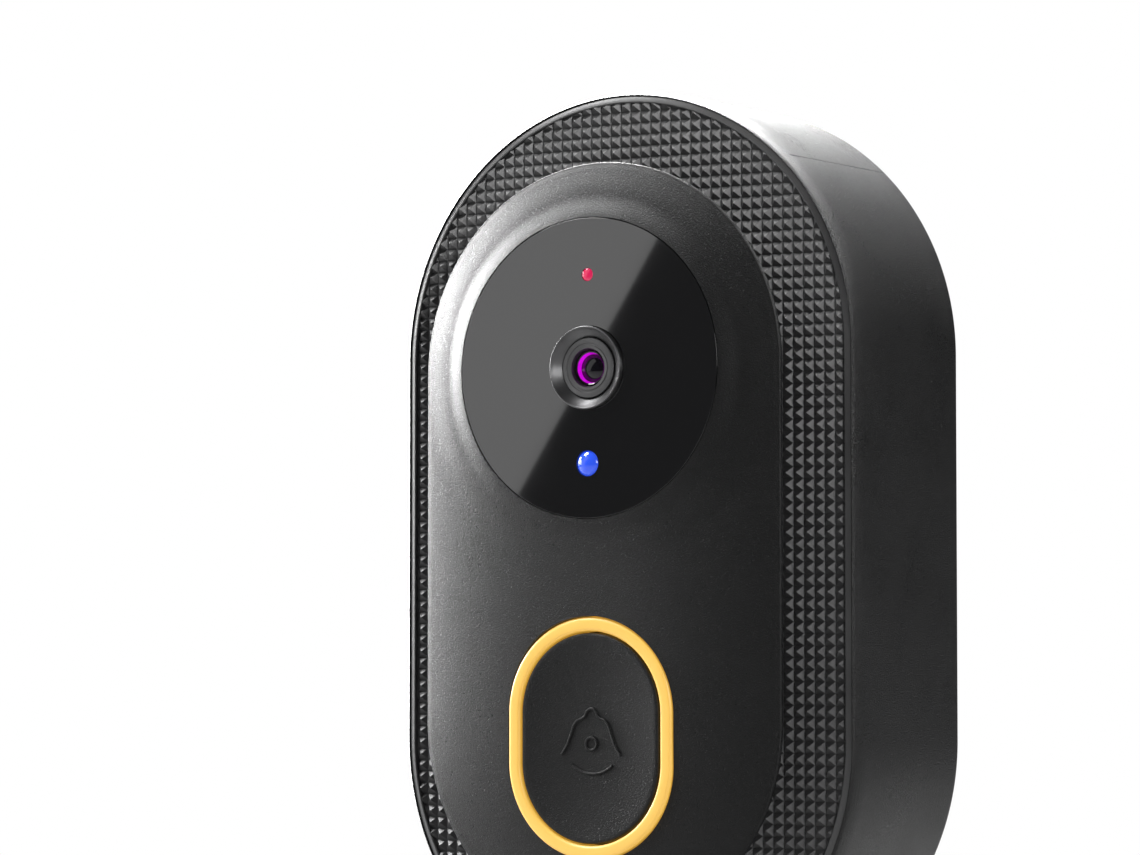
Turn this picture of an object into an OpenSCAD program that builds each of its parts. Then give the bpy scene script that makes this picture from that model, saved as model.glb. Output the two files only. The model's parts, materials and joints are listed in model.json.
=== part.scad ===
// Battery video doorbell on its wall bracket.
// Frame: origin on the wall, in the middle of the body's height and width.
// +X is right, +Z is up, and the front faces -Y, so a depth d lies at y = -d.

/* [Body] */
// Width of the body, which is also the diameter of its round ends
body_w = 68; // [66:0.5:72]
// Height of the body
body_h = 118; // [116:0.5:126]
// Depth of the textured face in front of the wall
face_d = 29.5; // [29:0.25:31]
// Thickness of the side wall
wall = 2.2; // [1.8:0.1:2.6]

/* [Front panel] */
// Width of the floating front panel
panel_w = 53.1; // [50:0.1:56]
// Height of the floating front panel
panel_h = 98.3; // [95:0.1:101]
// Height of the panel's lip in front of the textured face
lip_rise = 5.9; // [5.5:0.1:6.5]
// Height of the panel's middle in front of the textured face
crown_rise = 8.5; // [8:0.1:9]

/* [Camera] */
// Diameter of the round camera window
window_dia = 38.3; // [36:0.1:40]
// Outer diameter of the lens bezel
bezel_dia = 10.6; // [10:0.1:12]
// Diameter of the threaded lens barrel
barrel_dia = 7.7; // [7:0.1:8]

/* [Button] */
// Width of the light ring round the button
ring_w = 24.46; // [23:0.02:26]
// Straight length in the ring's sides
ring_straight = 6.3; // [5:0.1:8]
// Width of the ring's band
ring_band = 1.8; // [1.5:0.1:2.2]
// Gap between the button and the ring
button_gap = 0.2; // [0.15:0.05:0.3]
// Travel of the button
button_travel = 0.6; // [0.4:0.1:0.7]

/* [Wall bracket] */
// Distance between the two wall screws
screw_spacing = 80; // [70:1:84]
// Diameter of a wall screw's hole
screw_hole = 4.4; // [4:0.1:4.6]
// Height by which the doorbell lifts off its hooks
lift = 6; // [5:0.5:6]

/* [Hidden] */
$fn = 96;

body_r = body_w / 2;
body_c = body_h / 2 - body_r;
inner_r = body_r - wall;
back_d = 1;
front_wall = 1.8;
rim_w = 0.7;
plate_base = face_d - 1.1;
rim_d = face_d + 0.2;
panel_r = panel_w / 2;
panel_c = panel_h / 2 - panel_r;
lip_d = face_d + lip_rise;
crown_d = face_d + crown_rise;
lip_t = 0.6;
stem_r = 22;
stem_wall = 2;
skin_back = crown_d - 2.6;
window_r = window_dia / 2;
window_z = panel_c;
window_d = crown_d + 0.3;
window_t = 1.2;
red_z = window_z + 11.9;
blue_z = window_z - 12.2;
red_r = 0.8;
blue_r = 1.6;
ring_r = ring_w / 2;
ring_c = ring_straight / 2;
ring_z = -24.5;
ring_in = ring_r - ring_band;
button_r = ring_in - button_gap;
board_t = 1.1;
button_board_d = crown_d - 7;
switch_d = button_board_d + 2.6;
window_board_d = crown_d - 5.2;
camera_board_d = 22;
main_board_d = 18.4;
frame_d = 15.4;
cover_d = 3.4;
cover_t = 2.2;
bracket_t = 3;
charge_board_d = 9.2;
port_d = charge_board_d + board_t + 1.65;
hook_x = 13;
hook_zs = [35, -38];
catch_z = 14;
catch_r = 2.1;
catch_d = 1.7;
hook_t = 3;
hook_lip = 1.7;
hook_d = cover_d + cover_t + 0.3;
pocket_d = hook_d + hook_lip + 0.4;
cover_screw_at = [[inner_r - 4.2, 0], [-(inner_r - 4.2), 0], [13.8, 48.9], [-13.8, 48.9],
    [13.8, -48.9], [-13.8, -48.9]];
frame_screw_at = [[20.8, 36], [-20.8, 36], [20.8, -36], [-20.8, -36]];
board_screw_at = [[15.5, 4], [-15.5, 4], [10.5, -43.4], [-10.5, -43.4]];
panel_screw_at = [[12.5, 36.6], [-12.5, 36.6], [17.3, -30], [-17.3, -30]];
camera_screw_at = [[12, 31], [-12, 31]];
charge_screw_at = [[4.3, -40.8], [-4.3, -40.8]];
sound_x = [-6, -3, 0, 3, 6];
sound_z = -48;
sound_r = 0.7;
speaker_z = -43;
mic_at = [15, -40.5];
flap_w = 14;
flap_t = 1.1;
flap_back = port_d - 4.2;
flap_front = port_d + 4.2;
hinge_d = flap_back + 0.6;
hinge_z = 0.7 - body_h / 2;

// Points of an arc from angle a to angle b
function arc(cx, cy, r, a, b, n = 8) =
    [for (i = [0:n]) [cx + r * cos(a + (b - a) * i / n), cy + r * sin(a + (b - a) * i / n)]];

// Height of the crowned panel at a distance r from its spine
crown_power = 3;
function crown(r) = crown_d - (crown_d - lip_d) * pow(r / panel_r, crown_power);

// Sweeps a profile, drawn as distance from the spine against depth, round a stadium
module sweep(c, z = 0) {
    translate([0, 0, z]) rotate([90, 0, 0]) {
        translate([0, c, 0]) rotate_extrude(angle = 180) children();
        translate([0, -c, 0]) rotate([0, 0, 180]) rotate_extrude(angle = 180) children();
        for (s = [0, 1]) mirror([s, 0, 0])
            translate([0, c, 0]) rotate([90, 0, 0]) linear_extrude(2 * c) children();
    }
}

// A stadium-shaped slab from depth d0 to depth d1
module slab(r, c, d0, d1, z = 0) {
    translate([0, -d0, z]) rotate([90, 0, 0]) linear_extrude(d1 - d0) {
        translate([0, c]) circle(r);
        translate([0, -c]) circle(r);
        square([2 * r, 2 * c], center = true);
    }
}

// A round peg or hole along the depth axis
module peg(x, z, r, d0, d1, r2 = 0) {
    translate([x, -d0, z]) rotate([90, 0, 0]) cylinder(r1 = r, r2 = r2 > 0 ? r2 : r, h = d1 - d0);
}

// A block by its low and high corners in x, depth and z
module block(x0, x1, d0, d1, z0, z1) {
    translate([x0, -d1, z0]) cube([x1 - x0, d1 - d0, z1 - z0]);
}

// A countersunk screw whose head faces the wall
module rear_screw(x, z, head_d, tip_d, r, head_r) {
    difference() {
        union() {
            peg(x, z, head_r, head_d, head_d + 1.1, r);
            peg(x, z, r, head_d, tip_d);
        }
        translate([x, 0, z]) for (a = [0, 90])
            rotate([0, a, 0]) block(-head_r * 0.6, head_r * 0.6, head_d - 1, head_d + 0.6, -0.2, 0.2);
    }
}

// A pan-head screw whose head faces the front
module front_screw(x, z, head_d, tip_d, r, head_r) {
    difference() {
        union() {
            peg(x, z, head_r, head_d, head_d + 0.9);
            peg(x, z, r, tip_d, head_d + 0.5);
        }
        translate([x, 0, z]) for (a = [0, 90])
            rotate([0, a, 0]) block(-head_r * 0.6, head_r * 0.6, head_d + 0.4, head_d + 2, -0.2, 0.2);
    }
}

// A round lead swept through a list of points given as x, depth and z
module lead(points, r) {
    sides = 8;
    last = len(points) - 1;
    at = [for (p = points) [p[0], -p[1], p[2]]];
    rings = [for (i = [0:last]) let (
        along = at[min(i + 1, last)] - at[max(i - 1, 0)],
        side = cross(along, [0.3, 0.9, 0.2]),
        u = side / norm(side),
        w = cross(along / norm(along), u))
        for (k = [0:sides - 1]) at[i] + r * (cos(k * 360 / sides) * u + sin(k * 360 / sides) * w)];
    skin = [for (i = [0:last - 1]) for (k = [0:sides - 1]) for (half = [0, 1]) let (
        n = (k + 1) % sides,
        a = i * sides,
        b = a + sides)
        half == 0 ? [a + k, a + n, b + n] : [a + k, b + n, b + k]];
    polyhedron(rings, concat(skin, [[for (k = [0:sides - 1]) sides - 1 - k],
        [for (k = [0:sides - 1]) last * sides + k]]));
}

// ---- Wall side ----

module wall_bracket() {
    r = inner_r - 2.3;
    c_low = body_c - lift + 1;
    color("#2b2c2e") difference() {
        union() {
            slab(r, (body_c + c_low) / 2, 0, bracket_t, (body_c - c_low) / 2);
            for (x = [-hook_x, hook_x]) for (z = hook_zs) {
                block(x - 4, x + 4, bracket_t - 1, hook_d + hook_lip, z, z + hook_t);
                block(x - 4, x + 4, hook_d, hook_d + hook_lip, z, z + hook_t + 5);
            }
        }
        for (z = [-screw_spacing / 2, screw_spacing / 2]) {
            peg(0, z, screw_hole / 2, -1, bracket_t + 1);
            peg(0, z, screw_hole / 2, 1.2, bracket_t + 0.01, 4.2);
        }
        block(-5, 5, -1, bracket_t + 1, 2, 20);
        block(-21, -9, 1.6, bracket_t + 1, -20, 20);
        block(9, 21, 1.6, bracket_t + 1, -20, 20);
    }
}

module bracket_catch() {
    color("#b9bcc0") union() {
        block(-3, 3, catch_d - 0.4, catch_d, 2, catch_z + 4.5);
        translate([0, -catch_d, catch_z]) rotate([0, 90, 0]) difference() {
            cylinder(r = catch_r, h = 5, center = true);
            translate([-3, 0, -3]) cube([6, 3, 6]);
        }
    }
}

// ---- Housing and front ----

module housing() {
    rim_drop = 3.5;
    back_r = 1.6;
    rim = [for (p = arc(0, 0, 1, 0, 90)) [body_r - rim_w + rim_w * p[0], rim_d - rim_drop + rim_drop * p[1]]];
    shell = concat([[0, back_d]], arc(body_r - back_r, back_d + back_r, back_r, -90, 0), rim, [[0, rim_d]]);
    color("#2a2a2b") difference() {
        union() {
            difference() {
                sweep(body_c) polygon(shell);
                slab(inner_r, body_c, back_d - 1, plate_base - front_wall);
                slab(body_r - rim_w, body_c, plate_base, rim_d + 1);
            }
            difference() {
                slab(inner_r + 0.1, body_c, 6.1, 7.5);
                slab(inner_r - 1.6, body_c, 6, 8);
            }
            for (p = cover_screw_at) peg(p[0], p[1], 3, 5.7, plate_base - 1);
            for (p = frame_screw_at) peg(p[0], p[1], 2.4, frame_d + 1.25, plate_base - 1);
            for (p = camera_screw_at) peg(p[0], p[1], 2, camera_board_d + board_t + 0.05, plate_base - 1);
        }
        for (p = cover_screw_at) peg(p[0], p[1], 1.05, 5, 14);
        for (p = frame_screw_at) peg(p[0], p[1], 0.85, frame_d, frame_d + 8);
        for (p = camera_screw_at) peg(p[0], p[1], 0.75, camera_board_d, plate_base - 2);
        for (p = panel_screw_at) peg(p[0], p[1], 1.1, plate_base - 4, plate_base + 1);
        peg(0, window_z, 9.2, plate_base - 4, plate_base + 1);
        slab(10, ring_c, plate_base - 4, plate_base + 1, ring_z);
        block(-6, 6, plate_base - 4, plate_base + 1, -8, 10);
        for (x = sound_x) peg(x, sound_z, sound_r, plate_base - 4, plate_base + 1);
        peg(mic_at[0], mic_at[1], 0.6, plate_base - 4, plate_base + 1);
        block(-4.7, 4.7, port_d - 1.85, port_d + 1.85, -body_h / 2 - 1, -body_h / 2 + 4);
        flap_recess(0.2);
    }
}

// The shallow seat of the charging port's flap, grown by a clearance
module flap_recess(gap) {
    intersection() {
        block(-flap_w / 2 - gap, flap_w / 2 + gap, flap_back - gap, flap_front + gap, -body_h, -body_c);
        difference() {
            slab(body_r + gap, body_c, 2, 26);
            slab(body_r - flap_t - gap, body_c, 1, 27);
        }
    }
}

module texture_plate() {
    color("#3a3b3d") difference() {
        slab(body_r - rim_w - 0.05, body_c, plate_base, face_d + 0.1);
        slab(stem_r + 0.05, panel_c, plate_base - 1, face_d + 1);
        for (x = sound_x) peg(x, sound_z, sound_r, plate_base - 1, face_d + 1);
        peg(mic_at[0], mic_at[1], 0.6, plate_base - 1, face_d + 1);
    }
}

module front_panel() {
    radii = [for (i = [0:10]) panel_r * i / 10];
    profile = concat([for (r = radii) [r, crown(r)]], [[panel_r, lip_d - lip_t], [0, lip_d - lip_t]]);
    color("#333335") difference() {
        union() {
            sweep(panel_c) polygon(profile);
            slab(stem_r, panel_c, plate_base + 0.05, lip_d);
            intersection() {
                slab(panel_r - 1.6, panel_c, lip_d - 0.4, crown_d + 1);
                peg(0, window_z, 20.1, lip_d - 0.4, crown_d + 0.2);
            }
            intersection() {
                slab(panel_r - 1.6, panel_c, lip_d - 0.4, crown_d + 1);
                peg(0, window_z, 24.6, crown(24.6), crown_d + 0.1, 20.1);
            }
        }
        difference() {
            slab(stem_r - stem_wall, panel_c, plate_base - 1, skin_back);
            difference() {
                peg(0, window_z, 17.3, window_board_d + 1.05, skin_back + 1);
                peg(0, window_z, 15.6, window_board_d, skin_back + 2);
            }
            difference() {
                slab(14, ring_c, button_board_d + 1.05, skin_back + 1, ring_z);
                slab(ring_r + 1.05, ring_c, button_board_d, skin_back + 2, ring_z);
            }
        }
        peg(0, window_z, window_r + 0.12, window_d - window_t, crown_d + 2);
        peg(0, window_z, window_r - 2.2, skin_back - 1, crown_d + 2);
        slab(ring_r + 0.12, ring_c, skin_back - 1, crown_d + 2, ring_z);
    }
    color("#333335") difference() {
        for (p = panel_screw_at) peg(p[0], p[1], 2, plate_base + 0.05, skin_back + 0.1);
        for (p = panel_screw_at) peg(p[0], p[1], 0.8, plate_base - 1, skin_back - 1.2);
    }
}

module camera_window() {
    color("#141416") difference() {
        peg(0, window_z, window_r, window_d - window_t + 0.15, window_d);
        peg(0, window_z, bezel_dia / 2 + 0.05, window_d - 3, window_d + 1);
        peg(0, red_z, red_r + 0.05, window_d - 3, window_d + 1);
        peg(0, blue_z, blue_r + 0.05, window_d - 3, window_d + 1);
    }
}

module window_tape() {
    color("#101010") difference() {
        peg(0, window_z, window_r - 0.2, window_d - window_t, window_d - window_t + 0.15);
        peg(0, window_z, window_r - 2, window_d - 3, window_d + 1);
    }
}

// ---- Camera ----

module lens_bezel() {
    r = bezel_dia / 2;
    color("#8c8c92") translate([0, 0, window_z]) rotate([90, 0, 0]) rotate_extrude()
        polygon(concat([[barrel_dia / 2 + 0.05, window_d - 1.9], [r, window_d - 1.9]],
            arc(r - 0.25, window_d + 0.48, 0.25, 0, 180, 6), [[barrel_dia / 2 + 0.05, window_d - 0.5]]));
}

module lens_barrel() {
    r = barrel_dia / 2;
    color("#6c6c74") translate([0, 0, window_z]) rotate([90, 0, 0]) rotate_extrude()
        polygon([[3, 25.4], [r, 25.4], [r, window_d - 0.1], [2.5, window_d - 0.1], [2.34, window_d - 0.5],
            [2.34, window_d - 1.1], [3, window_d - 1.1]]);
}

module front_lens() {
    color("#241a35") translate([0, 0, window_z]) rotate([90, 0, 0]) rotate_extrude()
        polygon(concat([[0, window_d - 2.6], [2.95, window_d - 2.6], [2.95, window_d - 1.15],
            [2.3, window_d - 1.15]], arc(0, window_d - 3.3, 2.8, 43, 90, 6)));
}

module rear_lens() {
    color("#cfd6dc") peg(0, window_z, 2.95, 27.5, 29.7);
}

module lens_holder() {
    color("#1c1c1d") difference() {
        block(-6.5, 6.5, camera_board_d + board_t, 28, window_z - 6.5, window_z + 6.5);
        peg(0, window_z, barrel_dia / 2 + 0.04, 25, 30);
        block(-4.6, 4.6, camera_board_d, 24.9, window_z - 4.6, window_z + 4.6);
        peg(0, window_z, 2.9, 24, 26);
    }
}

module infrared_filter() {
    color("#9a4a5a") block(-4, 4, 24.5, 24.85, window_z - 4, window_z + 4);
}

module image_sensor() {
    color("#303b52") block(-3.6, 3.6, camera_board_d + board_t, camera_board_d + board_t + 0.9,
        window_z - 3, window_z + 3);
}

module camera_board() {
    color("#1d5a36") difference() {
        block(-14.5, 14.5, camera_board_d, camera_board_d + board_t, window_z - 12, window_z + 12);
        for (p = camera_screw_at) peg(p[0], p[1], 1.05, camera_board_d - 1, camera_board_d + 3);
    }
}

module camera_screws() {
    color("silver") for (p = camera_screw_at)
        rear_screw(p[0], p[1], camera_board_d - 1.1, camera_board_d + 4, 0.7, 1.4);
}

module window_board() {
    color("#1d5a36") difference() {
        peg(0, window_z, 16.4, window_board_d, window_board_d + 1);
        peg(0, window_z, 5.6, window_board_d - 1, window_board_d + 2);
    }
}

module infrared_leds() {
    color("#4a3f5c") for (x = [-9, 9]) for (z = [window_z - 7, window_z + 7])
        block(x - 1.4, x + 1.4, window_board_d + 1, window_board_d + 2, z - 1.4, z + 1.4);
}

module status_led() {
    color("#e1305a") union() {
        peg(0, red_z, 1.4, window_board_d + 1, window_board_d + 3.2);
        peg(0, red_z, red_r, window_board_d + 3.1, window_d + 0.1);
    }
}

module indicator_dome() {
    color("#3a62f0") union() {
        peg(0, blue_z, 2, window_board_d + 1, window_board_d + 3.2);
        peg(0, blue_z, blue_r, window_board_d + 3.1, window_d - 0.2);
        translate([0, -window_d + 0.2, blue_z]) rotate([90, 0, 0]) intersection() {
            translate([0, 0, -1.5]) sphere(r = 2.19);
            cylinder(r = blue_r, h = 3);
        }
    }
}

// ---- Button ----

module light_ring() {
    edge = 0.35;
    color("#e9c46a") sweep(ring_c, ring_z) polygon(concat(
        [[ring_in, crown_d - 3.1], [ring_r + 1, crown_d - 3.1], [ring_r + 1, skin_back - 0.05],
        [ring_r, skin_back - 0.05]], arc(ring_r - edge, crown_d - edge, edge, 0, 90, 4),
        arc(ring_in + edge, crown_d - edge, edge, 90, 180, 4)));
}

module ring_leds() {
    at = [for (i = [0:7]) [11.3 * cos(i * 45 + 22.5), 11.3 * sin(i * 45 + 22.5)]];
    color("#f3efe2") for (p = at) {
        z = ring_z + p[1] + (p[1] > 0 ? ring_c : -ring_c);
        block(p[0] - 0.8, p[0] + 0.8, button_board_d + 1, button_board_d + 2, z - 0.8, z + 0.8);
    }
}

module button_board() {
    color("#1d5a36") slab(14, ring_c, button_board_d, button_board_d + 1, ring_z);
}

module button_switch() {
    top = switch_d;
    color("#26272a") difference() {
        block(-3, 3, button_board_d + 1, top, ring_z - 3, ring_z + 3);
        peg(0, ring_z, 1.8, top - 0.9, top + 1);
    }
}

module switch_plunger() {
    top = switch_d;
    color("#c9c3b4") peg(0, ring_z, 1.72, top - 0.2, top + button_travel - 0.05);
}

module button_cap() {
    back = switch_d + button_travel;
    top = crown_d - 0.15;
    dish = 0.55;
    dish_r = (pow(button_r - 0.5, 2) + dish * dish) / (2 * dish);
    dish_arc = [for (i = [0:10]) let (r = (button_r - 0.5) * i / 10)
        [r, top + dish_r - dish - sqrt(dish_r * dish_r - r * r)]];
    color("#303031") sweep(ring_c, ring_z) polygon(concat(dish_arc, [[button_r - 0.15, top],
        [button_r, top - 0.15], [button_r, crown_d - 3.3], [button_r + 0.7, crown_d - 3.3],
        [button_r + 0.7, crown_d - 4.1], [8.9, crown_d - 4.1], [8.9, crown_d - 2.8], [2.6, crown_d - 2.8],
        [2.6, back], [0, back]]));
}

module button_membrane() {
    color("#8b8c90") difference() {
        slab(9.9, ring_c, button_board_d + 1.05, crown_d - 4.15, ring_z);
        slab(9.2, ring_c, button_board_d, crown_d - 2, ring_z);
    }
}

module panel_screws() {
    color("silver") for (p = panel_screw_at)
        rear_screw(p[0], p[1], plate_base - front_wall - 1.15, plate_base + 4, 0.75, 1.6);
}

// ---- Electronics ----

module main_board() {
    color("#1d5a36") difference() {
        block(-18, 18, main_board_d, main_board_d + 1.6, -45.6, 8);
        for (p = board_screw_at) peg(p[0], p[1], 1.05, main_board_d - 1, main_board_d + 3);
    }
}

module processor_shield() {
    color("#c4c7ca") difference() {
        block(-9, 9, main_board_d + 1.6, main_board_d + 3.8, -10, 6);
        block(-8.8, 8.8, main_board_d + 1, main_board_d + 3.6, -9.8, 5.8);
    }
}

module board_chips() {
    color("#18191b") {
        block(-12, -4, main_board_d + 1.6, main_board_d + 2.5, -28, -20);
        block(3, 9, main_board_d + 1.6, main_board_d + 2.4, -26, -20);
        block(-8, -3, main_board_d + 1.6, main_board_d + 2.6, -18, -13);
        block(10, 15, main_board_d + 1.6, main_board_d + 3, -36, -31);
        for (i = [0:5]) block(2 + i * 2, 3 + i * 2, main_board_d + 1.6, main_board_d + 2.2, -16, -14.4);
    }
}

module board_screws() {
    color("silver") for (p = board_screw_at)
        front_screw(p[0], p[1], main_board_d + 1.6, frame_d + 0.3, 0.9, 1.9);
}

module camera_flex() {
    w = 4;
    d1 = main_board_d + 1.6;
    color("#c77f2e") translate([-w, 0, 0]) rotate([90, 0, 90]) linear_extrude(2 * w)
        polygon([[-camera_board_d + 0.02, 16], [-camera_board_d + 0.02, 9], [-d1 - 0.2, 7], [-d1 - 0.2, 6.2],
            [-d1 - 0.02, 6.2], [-d1 - 0.02, 7.1], [-camera_board_d + 0.2, 9.1], [-camera_board_d + 0.2, 16]]);
}

module button_flex() {
    color("#c77f2e") block(6.2, 9.2, main_board_d + 1.62, button_board_d - 0.02, -19, -18.8);
}

module antenna() {
    color("#2d6a4a") difference() {
        block(-10, 10, frame_d + 1.25, frame_d + 2.1, 41.5, 46.5);
        peg(-7.5, 44, 1, frame_d, frame_d + 3);
    }
}

module antenna_lead() {
    color("#18181a") lead([[8, 18.2, 41.2], [14, 18.2, 40], [15.5, 18.2, 30], [19.6, 19.4, 8], [19.6, 20.7, 0],
        [17.2, 20.7, -3], [12, 20.7, -3]], 0.55);
}

module speaker_frame() {
    color("#202123") difference() {
        union() {
            peg(0, speaker_z, 9.8, 21.4, 24.6);
            peg(0, speaker_z, 6, 20.6, 21.5);
        }
        peg(0, speaker_z, 8.9, 22.4, 25);
    }
}

module speaker_cone() {
    color("#3a3c40") difference() {
        union() {
            peg(0, speaker_z, 3.2, 22.5, 24.1, 8.7);
            peg(0, speaker_z, 8.85, 24.1, 24.5);
        }
        peg(0, speaker_z, 2.6, 22.9, 24.6, 8);
    }
}

module speaker_gasket() {
    color("#454548") difference() {
        peg(0, speaker_z, 9.8, 24.65, plate_base - front_wall - 0.05);
        peg(0, speaker_z, 8.6, 24, plate_base);
    }
}

module microphone() {
    color("#c9b071") peg(mic_at[0], mic_at[1], 1.5, main_board_d + 1.62, 24.7);
}

module microphone_seal() {
    color("#55565a") difference() {
        peg(mic_at[0], mic_at[1], 1.5, 24.7, plate_base - front_wall - 0.02);
        peg(mic_at[0], mic_at[1], 0.6, 24, plate_base);
    }
}

module inner_frame() {
    color("#d8d8d4") difference() {
        union() {
            slab(24.2, 23.5, frame_d, frame_d + 1.2);
            for (p = frame_screw_at) peg(p[0], p[1], 3.2, frame_d, frame_d + 1.2);
            for (p = board_screw_at) peg(p[0], p[1], 2.2, frame_d + 1, main_board_d - 0.02);
        }
        for (p = board_screw_at) peg(p[0], p[1], 0.95, frame_d - 1, main_board_d + 1);
        for (p = frame_screw_at) peg(p[0], p[1], 1.05, frame_d - 1, frame_d + 3);
        slab(8, 6, frame_d - 1, frame_d + 3, 22);
    }
}

module frame_screws() {
    color("silver") for (p = frame_screw_at)
        rear_screw(p[0], p[1], frame_d - 1.15, frame_d + 7, 0.8, 1.8);
}

module battery_pack() {
    color("#3f6fa8") difference() {
        block(-22, 22, 6.3, 15, -27.6, 26.6);
        for (x = [-22, 22]) for (d = [6.3, 15])
            translate([x, -d, 0]) rotate([0, 0, 45]) cube([2.4, 2.4, 70], center = true);
    }
}

module battery_lead() {
    color("#b02a2a") lead([[11, 13, -27.7], [11, 13, -29.3], [13.5, 13, -31], [23.4, 13.4, -31],
        [26.6, 15.4, -30.4], [26.6, 20, -29.4], [24, 21.4, -28.6], [16, 21.2, -28.2]], 0.8);
}

module battery_pad() {
    color("#6a6b6e") block(-18, 18, cover_d + cover_t + 0.02, 6.28, -22, 22);
}

module charge_board() {
    color("#1d5a36") difference() {
        block(-6.4, 6.4, charge_board_d, charge_board_d + board_t, -55, -39);
        for (p = charge_screw_at) peg(p[0], p[1], 0.95, charge_board_d - 1, charge_board_d + 3);
    }
}

module charge_screws() {
    color("silver") for (p = charge_screw_at)
        front_screw(p[0], p[1], charge_board_d + board_t, cover_d + 2.8, 0.75, 1.4);
}

module usb_socket() {
    color("#c2c5c8") difference() {
        mouth_z = -56.6;
        block(-4.5, 4.5, port_d - 1.6, port_d + 1.6, mouth_z, mouth_z + 7.3);
        block(-4.2, 4.2, port_d - 1.3, port_d + 1.3, mouth_z - 1, mouth_z + 6.3);
    }
    color("#222222") block(-3.3, 3.3, port_d - 0.35, port_d + 0.35, -55.4, -50.2);
}

module usb_flap() {
    color("#2c2c2d") union() {
        difference() {
            intersection() {
                block(-flap_w / 2, flap_w / 2, hinge_d, flap_front, -body_h, -body_c);
                slab(body_r - 0.05, body_c, 2, 26);
            }
            slab(body_r - flap_t, body_c, 1, 27);
        }
        translate([0, -hinge_d, hinge_z]) rotate([0, 90, 0]) cylinder(r = 0.35, h = 6, center = true);
        difference() {
            block(-3.9, 3.9, port_d - 0.9, port_d + 0.9, -57.9, -55.9);
            block(-3, 3, port_d - 0.5, port_d + 0.5, -56.9, -55);
        }
    }
}

module reset_switch() {
    color("#26272a") block(-2, 2, 7.6, charge_board_d, -46.5, -42.5);
}

module reset_button() {
    color("#5a5b5e") union() {
        peg(0, -44.5, 1.4, cover_d + 0.4, 7.2);
        peg(0, -44.5, 2.1, cover_d + cover_t + 0.1, 6.6);
    }
}

// ---- Rear cover ----

module rear_cover() {
    back = cover_d + cover_t;
    color("#242425") difference() {
        union() {
            slab(inner_r - 0.25, body_c, cover_d, back);
            for (x = [-hook_x, hook_x]) for (z = hook_zs)
                block(x - 6.2, x + 6.2, back - 0.5, pocket_d + 1.2, z - lift - 1.6, z + hook_t + 6.7);
            for (p = charge_screw_at) peg(p[0], p[1], 1.7, back - 0.5, charge_board_d - 0.02);
        }
        for (x = [-hook_x, hook_x]) for (z = hook_zs) {
            block(x - 4.5, x + 4.5, cover_d - 1, pocket_d, z - lift - 0.4, z + hook_t + 0.1);
            block(x - 4.5, x + 4.5, back, pocket_d, z - lift - 0.4, z + hook_t + 5.5);
        }
        for (p = cover_screw_at) {
            peg(p[0], p[1], 1.15, cover_d - 1, back + 1);
            peg(p[0], p[1], 2.35, cover_d - 0.01, cover_d + 1.15, 1.15);
        }
        for (p = charge_screw_at) peg(p[0], p[1], 0.8, back - 0.5, charge_board_d + 1);
        peg(0, -44.5, 1.55, cover_d - 1, back + 1);
        translate([0, -catch_d, catch_z]) rotate([0, 90, 0]) cylinder(r = catch_r + 0.3, h = 6, center = true);
    }
}

module cover_seal() {
    color("#4a4b4d") difference() {
        slab(inner_r - 0.1, body_c, cover_d + cover_t + 0.02, 6.08);
        slab(inner_r - 1.4, body_c, cover_d, 8);
        for (p = cover_screw_at) peg(p[0], p[1], 3.1, cover_d, 8);
    }
}

module cover_screws() {
    color("silver") for (p = cover_screw_at)
        rear_screw(p[0], p[1], cover_d + 0.05, 13.5, 1, 2.2);
}

wall_bracket();
bracket_catch();
housing();
texture_plate();
front_panel();
camera_window();
window_tape();
lens_bezel();
lens_barrel();
front_lens();
rear_lens();
lens_holder();
infrared_filter();
image_sensor();
camera_board();
camera_screws();
window_board();
infrared_leds();
status_led();
indicator_dome();
light_ring();
ring_leds();
button_board();
button_switch();
switch_plunger();
button_cap();
button_membrane();
panel_screws();
main_board();
processor_shield();
board_chips();
board_screws();
camera_flex();
button_flex();
antenna();
antenna_lead();
speaker_frame();
speaker_cone();
speaker_gasket();
microphone();
microphone_seal();
inner_frame();
frame_screws();
battery_pack();
battery_lead();
battery_pad();
charge_board();
charge_screws();
usb_socket();
usb_flap();
reset_switch();
reset_button();
rear_cover();
cover_seal();
cover_screws();
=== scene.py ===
"""Video doorbell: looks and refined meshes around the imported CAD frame."""
import json
from math import cos, hypot, pi, radians, sin, sqrt

import bmesh
import bpy
from mathutils import Matrix, Vector


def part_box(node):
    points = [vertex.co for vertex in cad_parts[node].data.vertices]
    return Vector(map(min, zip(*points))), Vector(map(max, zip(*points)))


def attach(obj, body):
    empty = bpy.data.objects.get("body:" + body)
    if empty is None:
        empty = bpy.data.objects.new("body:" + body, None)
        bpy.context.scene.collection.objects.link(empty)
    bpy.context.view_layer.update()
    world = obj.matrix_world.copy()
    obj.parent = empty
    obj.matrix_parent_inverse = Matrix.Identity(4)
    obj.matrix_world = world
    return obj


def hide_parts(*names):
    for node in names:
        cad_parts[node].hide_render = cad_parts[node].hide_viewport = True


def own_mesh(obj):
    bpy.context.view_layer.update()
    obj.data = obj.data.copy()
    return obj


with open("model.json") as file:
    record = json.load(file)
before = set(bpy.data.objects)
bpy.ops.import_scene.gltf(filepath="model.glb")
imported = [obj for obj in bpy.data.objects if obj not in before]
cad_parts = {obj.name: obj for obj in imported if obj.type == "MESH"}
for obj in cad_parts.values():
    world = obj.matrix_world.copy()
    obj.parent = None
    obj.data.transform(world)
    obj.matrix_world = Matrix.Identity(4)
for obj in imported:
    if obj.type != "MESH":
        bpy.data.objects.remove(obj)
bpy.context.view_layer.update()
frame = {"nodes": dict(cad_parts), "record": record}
nodes = frame["nodes"]
MM = 0.001


# ---------------------------------------------------------------- places from the frame

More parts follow.
